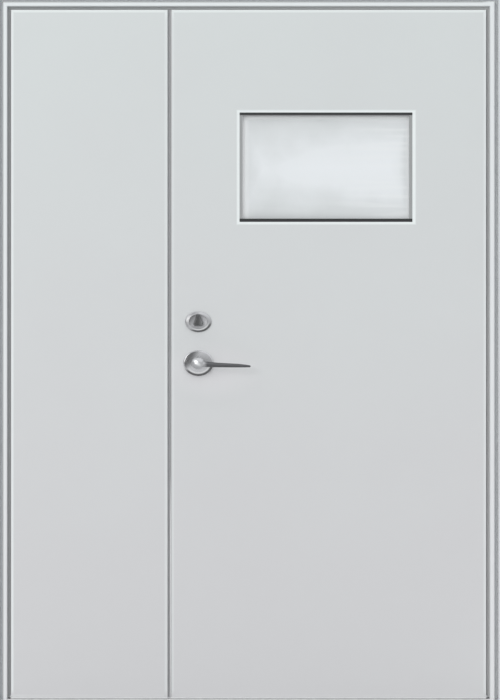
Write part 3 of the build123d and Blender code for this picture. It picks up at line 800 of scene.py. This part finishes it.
# %% Assign finishes
finishes = {"frame_paint": frame_paint, "frosted_glass": frosted, "window_stile": stile_paint}
finishes.update(metals)
finishes.update(rubbers)
for entry in frame["record"]["subparts"]:
    node, slot = entry["node"], entry["material_slot"]
    finish = leaf_paints[node.split("_")[0]] if slot == "leaf_paint" else finishes[slot]
    nodes[node].data.materials.clear()
    nodes[node].data.materials.append(finish)

# %% [markdown]
# ## A screw head
# Countersunk screws hold the hinge wings, the lock plates and the threshold. Their heads lie flush, so
# all that shows is a shallow crown with a cross recess. A head is a height over a disc: a polar grid
# carries the crown, and the recess is cut where either of two crossed slots is near.

# %% Screw head
HEAD_RADIUS = 0.0042
HEAD_CROWN = 0.0004
HEAD_SKIRT = 0.0002
RECESS_DEPTH = 0.0014
# Shares of the radius: the grid's inner ring, half a slot's width, a slot's reach, and how soft both are.
HUB, SLOT_HALF, SLOT_SOFT, SLOT_REACH, REACH_SOFT = 0.06, 0.10, 0.08, 0.55, 0.12
RINGS, SPOKES = 14, 40


def wrapped_quads(rows, columns):
    """Quads of a grid of points whose columns close on themselves."""
    row, column = np.meshgrid(np.arange(rows - 1), np.arange(columns), indexing="ij")
    beside = (column + 1) % columns
    corners = ((row, column), (row + 1, column), (row + 1, beside), (row, beside))
    return np.stack([r * columns + c for r, c in corners], axis=-1).reshape(-1, 4)


def falling(value, start, width):
    """1 up to start, then straight down to 0 over a width."""
    return 1.0 - np.clip((value - start) / width, 0, 1)


def screw_head(centre, normal):
    """Closed head: crown h(r) = crown (1 - (r/R)^2), less a cross recess, with a flat underside.

    The recess is depth times the larger of two slots, each falling off with the distance from its line.
    """
    normal = np.array(normal, dtype=float)
    across = np.cross(normal, (0.0, 0.0, 1.0) if abs(normal[2]) < 0.9 else (0.0, 1.0, 0.0))
    upward = np.cross(normal, across)
    share = np.linspace(HUB, 1.0, RINGS)[:, None]
    turn = np.linspace(0.0, 2 * math.pi, SPOKES, endpoint=False)[None, :]
    u, v = share * np.cos(turn), share * np.sin(turn)
    slots = [falling(np.abs(part), SLOT_HALF, SLOT_SOFT) for part in (u, v)]
    recess = RECESS_DEPTH * np.maximum(*slots) * falling(share, SLOT_REACH, REACH_SOFT)
    height = HEAD_CROWN * (1.0 - share**2) - recess
    height = np.vstack([height, np.full((1, SPOKES), -HEAD_SKIRT)])
    u, v = [HEAD_RADIUS * np.vstack([part, part[-1:]]) for part in (u, v)]
    grid = centre + u[..., None] * across + v[..., None] * upward + height[..., None] * normal
    poles = [centre - (RECESS_DEPTH - HEAD_CROWN) * normal, centre - HEAD_SKIRT * normal]
    points = np.vstack([grid.reshape(-1, 3), poles])
    here, there = np.arange(SPOKES), (np.arange(SPOKES) + 1) % SPOKES
    top, under = np.full(SPOKES, len(points) - 2), np.full(SPOKES, len(points) - 1)
    caps = [np.stack([top, here, there], axis=-1)]
    caps.append(np.stack([under, RINGS * SPOKES + there, RINGS * SPOKES + here], axis=-1))
    return points, wrapped_quads(RINGS + 1, SPOKES).tolist() + np.vstack(caps).tolist()


print("a head has", len(screw_head(np.zeros(3), (0, 1, 0))[1]), "faces")

# %% [markdown]
# ## Screws on the hinges
# All heads on one body become one mesh, which keeps the list of pieces short and lets a leaf carry its
# screws when it swings. Each hinge wing has four, set in from the wing's free edge.


# %% Hinge screws
def joined_piece(name, shapes, body, finish):
    """One mesh from several shapes, riding on a body."""
    points, faces, start = [], [], 0
    for shape_points, shape_faces in shapes:
        points.append(shape_points)
        faces += [[index + start for index in face] for face in shape_faces]
        start += len(shape_points)
    mesh = bpy.data.meshes.new(name)
    mesh.from_pydata(np.vstack(points).tolist(), [], faces)
    mesh.materials.append(finish)
    mesh.polygons.foreach_set("use_smooth", [True] * len(mesh.polygons))
    piece = bpy.data.objects.new(name, mesh)
    bpy.context.scene.collection.objects.link(piece)
    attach(piece, body)
    print(name, len(mesh.polygons), "faces on", body)
    return piece


WING_THICKNESS = 0.004
FROM_WING_EDGE = (0.008, 0.024)
FROM_WING_MIDDLE = (-0.012, 0.012)


def wing_screws(side, body):
    """Four heads on the flat wing of each hinge of one leaf."""
    shapes = []
    for place in ("bottom", "middle", "top"):
        low, high = box_of(f"{side}_{place}_hinge_leaf_half")
        edge, inward = (high[0], -1.0) if side == "left" else (low[0], 1.0)
        for along in FROM_WING_EDGE:
            for up in FROM_WING_MIDDLE:
                spot = (edge + inward * along, back_face + WING_THICKNESS, (low[2] + high[2]) / 2 + up)
                shapes.append(screw_head(np.array(spot), (0, 1, 0)))
    joined_piece(f"{body}_hinge_screws", shapes, body, metals["hinge_steel"])


wing_screws("left", "small_leaf")
wing_screws("right", "main_leaf")

# %% [markdown]
# ## Screws on the edge plates and the threshold
# The plates let into the leaves' edges have a screw near each end. The threshold has five, evenly
# spaced.

# %% Plate and threshold screws
FROM_PLATE_END = 0.009
FROM_SILL_END = 0.06
SILL_SCREWS = 5


def plate_screws(name, plates, normal, body):
    """A head near each end of the plates that are let into a leaf's edge."""
    shapes = []
    for plate in plates:
        low, high = box_of(plate)
        face = high[0] if normal[0] > 0 else low[0]
        for height in (low[2] + FROM_PLATE_END, high[2] - FROM_PLATE_END):
            shapes.append(screw_head(np.array((face, (low[1] + high[1]) / 2, height)), normal))
    joined_piece(name, shapes, body, metals["edge_steel"])


small_plates = ("strike_plate", "upper_flush_bolt", "lower_flush_bolt")
plate_screws("small_leaf_plate_screws", small_plates, (1, 0, 0), "small_leaf")
plate_screws("main_leaf_plate_screws", ("lock_forend",), (-1, 0, 0), "main_leaf")

sill_low, sill_high = box_of("threshold")
sill_middle = (sill_low[1] + sill_high[1]) / 2
sill_places = np.linspace(sill_low[0] + FROM_SILL_END, sill_high[0] - FROM_SILL_END, SILL_SCREWS)
sill_shapes = [screw_head(np.array((x, sill_middle, sill_high[2])), (0, 0, 1)) for x in sill_places]
joined_piece("threshold_screws", sill_shapes, "frame", metals["threshold_steel"])

# %% [markdown]
# ## Brush in the meeting gap
# A strip of pile on the narrow leaf's edge closes the gap between the leaves. Thousands of hairs would
# be wasted on a line three pixels wide, so the pile is one pleated surface: its thickness and its
# length both swing along the strip, one swing to a tuft.

# %% Pleated pile
TUFT = 0.003
SAMPLES_PER_TUFT = 4
THICK_MEAN, THICK_SWING = 0.8, 0.2
LONG_MEAN, LONG_SWING = 0.94, 0.06
# The section round the pile, from root to tip and back: share of its length, share of half its thickness.
SECTION = np.array([(0.0, -1.0), (0.75, -1.0), (1.0, -0.45), (1.0, 0.45), (0.75, 1.0), (0.0, 1.0)])


def pleated_pile(low, high):
    """Strip along Z whose thickness and length follow mean + swing cos(2 pi z / tuft).

    Each row of the grid is the section at one height, and the two ends are capped.
    """
    count = int((high[2] - low[2]) / TUFT) * SAMPLES_PER_TUFT
    z = np.linspace(low[2], high[2], count)
    swing = np.cos(2 * math.pi * np.arange(count) / SAMPLES_PER_TUFT)
    thick = (high[1] - low[1]) / 2 * (THICK_MEAN + THICK_SWING * swing)
    length = (high[0] - low[0]) * (LONG_MEAN + LONG_SWING * swing)
    x = low[0] + length[:, None] * SECTION[:, 0]
    y = (low[1] + high[1]) / 2 + thick[:, None] * SECTION[:, 1]
    points = np.stack([x, y, np.broadcast_to(z[:, None], x.shape)], axis=-1).reshape(-1, 3)
    size = len(SECTION)
    outward = wrapped_quads(count, size)[:, (0, 3, 2, 1)]
    ends = [list(range(size))[::-1], list(range(len(points) - size, len(points)))]
    return points, outward.tolist() + ends


pile_shape = pleated_pile(*box_of("meeting_brush"))
pile = joined_piece("meeting_pile", [pile_shape], "small_leaf", rubbers["brush_pile"])
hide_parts("meeting_brush")

# %% [markdown]
# ## Floor
# The doors stand on a plain pale floor. It is large, so that no edge of it shows, and far away its tone
# fades to a darker grey, which polished metal mirrors as a darker distance.

# %% Floor
FLOOR_HALF = 30.0
FLOOR_NEAR, FLOOR_FAR = (0.66, 0.66, 0.66), (0.30, 0.30, 0.30)
FLOOR_FADE = (7.0, 16.0, 0.0, 1.0)


def flat_sheet(name, half, z, finish):
    """Level square about the origin, as a two by two grid."""
    x, y = np.meshgrid([-half, half], [-half, half])
    points = np.stack([x, y, np.full_like(x, z)], axis=-1).reshape(-1, 3)
    mesh = bpy.data.meshes.new(name)
    mesh.from_pydata(points.tolist(), [], [(0, 1, 3, 2)])
    mesh.materials.append(finish)
    sheet = bpy.data.objects.new(name, mesh)
    bpy.context.scene.collection.objects.link(sheet)
    return sheet


floor_finish, floor_tree, floor_shader = new_finish("floor_finish", FLOOR_NEAR, 0.8)
floor_axes = place_axes(floor_tree)
floor_reach = length_of(floor_tree, floor_axes["X"], floor_axes["Y"])
far_off = rescale(floor_tree, floor_reach, *FLOOR_FADE, smooth=True)
floor_tree.links.new(tint(floor_tree, far_off, FLOOR_NEAR, FLOOR_FAR), floor_shader.inputs["Base Color"])
floor = flat_sheet("floor", FLOOR_HALF, 0.0, floor_finish)
print("floor", 2 * FLOOR_HALF, "m wide")

# %% [markdown]
# ## Lamps and world
# One large soft lamp stands far off on the left in front of the doors, and one behind them lights the
# other side. The world is a plain studio: dim at the level of the eye, lighter to the right and pale
# overhead, so polished metal shows a dark level band between a pale floor and a pale ceiling. Together
# they bring a white card to about full white, so a colour renders as it is written.

# %% Lamps and world
LAMP_TARGET = (0.0, 0.0, 1.1)
EYE_LEFT, EYE_RIGHT = (0.23, 0.235, 0.24), (0.56, 0.57, 0.58)
OVERHEAD = (0.96, 0.98, 1.0)
TO_RIGHT = (-0.2, 0.6, 0.0, 1.0)
TO_CEILING = (0.08, 0.50, 0.0, 1.0)
WORLD_STRENGTH = 1.13


def soft_lamp(name, place, size, power):
    """Square area lamp at a place, turned towards the doors."""
    lamp = bpy.data.lights.new(name, "AREA")
    lamp.size = size
    lamp.energy = power
    thing = bpy.data.objects.new(name, lamp)
    bpy.context.scene.collection.objects.link(thing)
    thing.location = place
    aim = np.array(LAMP_TARGET) - np.array(place)
    pitch = math.atan2(math.hypot(aim[0], aim[1]), -aim[2])
    thing.rotation_euler = (pitch, 0.0, math.atan2(-aim[0], aim[1]))
    thing.visible_camera = False
    return thing


lamps = [soft_lamp("left_lamp", (-10.0, -17.3, 5.6), 8.0, 900.0)]
lamps.append(soft_lamp("back_lamp", (7.0, 8.0, 4.0), 6.0, 220.0))

world = bpy.data.worlds.new("studio")
bpy.context.scene.world = world
world.use_nodes = True
sky = world.node_tree
direction = sky.nodes.new("ShaderNodeTexCoord")
parts = sky.nodes.new("ShaderNodeSeparateXYZ")
sky.links.new(direction.outputs["Generated"], parts.inputs["Vector"])
eye_level = tint(sky, rescale(sky, parts.outputs["X"], *TO_RIGHT), EYE_LEFT, EYE_RIGHT)
studio = tint(sky, rescale(sky, parts.outputs["Z"], *TO_CEILING), eye_level, OVERHEAD)
sky.links.new(studio, sky.nodes["Background"].inputs["Color"])
sky.nodes["Background"].inputs["Strength"].default_value = WORLD_STRENGTH
bpy.context.scene.view_settings.view_transform = "Standard"
print("lamps:", [lamp.name for lamp in lamps])

# %% [markdown]
# ## Camera
# The picture is a straight view of the doors that just fits them: its lower edge is the floor line and
# each pixel is three millimetres of the doors' face. A long lens from eight metres keeps the lines
# parallel.

# %% Camera
IMAGE_HEIGHT = 700
PIXEL = 0.003
VIEW_DISTANCE = 8.0
VIEW_MIDDLE_X = 0.0046
SENSOR_WIDTH = 36.0
FARTHEST = 200.0
half_height = IMAGE_HEIGHT * PIXEL / 2
lens_data = bpy.data.cameras.new("camera")
lens_data.sensor_width = SENSOR_WIDTH
lens_data.lens = SENSOR_WIDTH / 2 * VIEW_DISTANCE / half_height
lens_data.clip_end = FARTHEST
camera = bpy.data.objects.new("camera", lens_data)
bpy.context.scene.collection.objects.link(camera)
camera.location = (VIEW_MIDDLE_X, front_face - VIEW_DISTANCE, half_height)
camera.rotation_euler = (math.pi / 2, 0.0, 0.0)
bpy.context.scene.camera = camera
print("lens", round(lens_data.lens, 1), "mm")
